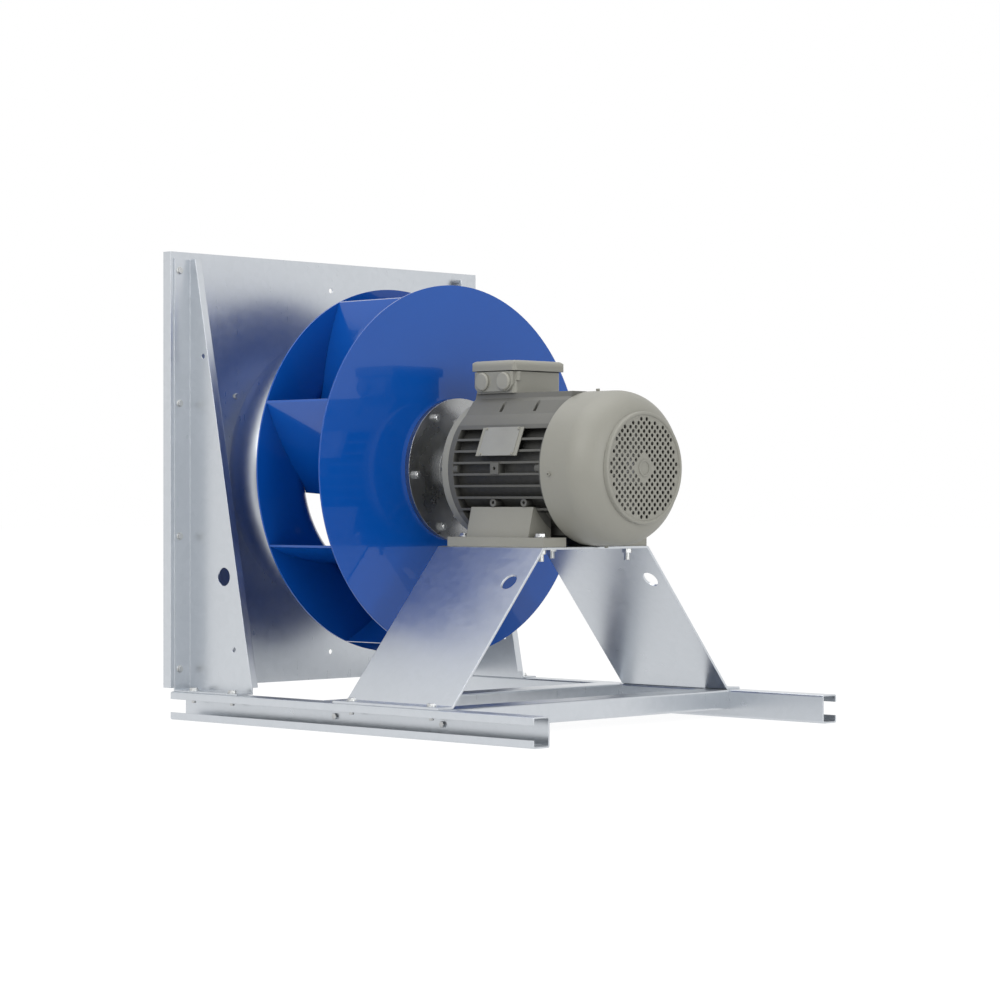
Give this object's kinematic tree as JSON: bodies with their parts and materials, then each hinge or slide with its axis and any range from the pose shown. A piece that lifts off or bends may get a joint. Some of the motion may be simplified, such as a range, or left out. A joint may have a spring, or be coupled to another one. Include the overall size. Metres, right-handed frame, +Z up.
{
  "type": "industrial centrifugal blower",
  "caption": "Direct-drive centrifugal plug fan with a backward-curved wheel, inlet nozzle and plate, and a foot-mounted electric motor on a sheet-steel base frame.",
  "frame": {"origin": "on the floor plane, under the middle of the part's length and width", "axes": "+X along the shaft from the inlet plate to the motor's fan cover, +Y across the base, +Z up"},
  "size_m": [0.897, 0.76, 0.821],
  "materials": {
    "galvanised_sheet": "galvanised sheet steel",
    "zinc_fastener": "bright zinc plate",
    "dark_screw": "black oxide",
    "motor_paint": "semi-gloss grey paint on cast iron and sheet",
    "seal_rubber": "matt",
    "core_steel": "laminated steel",
    "copper_winding": "varnished copper",
    "bearing_steel": "ground",
    "block_plastic": "moulded",
    "plug_plastic": "moulded",
    "plate_aluminium": "satin, blank",
    "earth_brass": "plain",
    "shaft_steel": "turned",
    "fan_plastic": "moulded",
    "hub_iron": "machined grey iron",
    "wheel_paint": "glossy blue paint"
  },
  "bodies": {
    "base": {"nozzle_plate": "galvanised_sheet", "inlet_nozzle": "galvanised_sheet", "nozzle_screws": "zinc_fastener", "gusset_left": "galvanised_sheet", "gusset_right": "galvanised_sheet", "gusset_bolts": "zinc_fastener", "rail_left": "galvanised_sheet", "rail_right": "galvanised_sheet", "cross_member_front": "galvanised_sheet", "cross_member_rear": "galvanised_sheet", "cross_member_bolts": "zinc_fastener", "motor_support": "galvanised_sheet", "support_bolts": "zinc_fastener", "motor_bolts": "zinc_fastener", "motor_housing": "motor_paint", "foot_left": "motor_paint", "foot_right": "motor_paint", "foot_screws": "dark_screw", "end_shield_drive": "motor_paint", "end_shield_fan": "motor_paint", "end_shield_screws": "dark_screw", "shaft_seal": "seal_rubber", "stator_core": "core_steel", "stator_windings": "copper_winding", "bearing_outer_rings": "bearing_steel", "terminal_box": "motor_paint", "terminal_gasket": "seal_rubber", "terminal_lid": "motor_paint", "lid_screws": "zinc_fastener", "terminal_block": "block_plastic", "entry_plugs": "plug_plastic", "nameplate": "plate_aluminium", "nameplate_brackets": "motor_paint", "earth_screw": "earth_brass", "fan_cover": "motor_paint", "fan_grille": "motor_paint", "cover_screws": "dark_screw"},
    "rotor": {"shaft": "shaft_steel", "shaft_key": "shaft_steel", "rotor_core": "core_steel", "bearing_inner_rings": "bearing_steel", "bearing_balls": "bearing_steel", "cooling_fan": "fan_plastic", "fan_clip": "dark_screw", "hub": "hub_iron", "taper_bush": "hub_iron", "bush_screws": "dark_screw", "hub_bolts": "zinc_fastener", "back_disc": "wheel_paint", "front_shroud": "wheel_paint", "blades": "wheel_paint", "shaft_washer": "shaft_steel", "shaft_screw": "shaft_steel"}
  },
  "joints": [
    {"name": "wheel_spin", "type": "hinge", "parent": "base", "child": "rotor", "pos_m": [-0.1005, 0, 0.438], "axis": [1, 0, 0], "continuous": true}
  ]
}
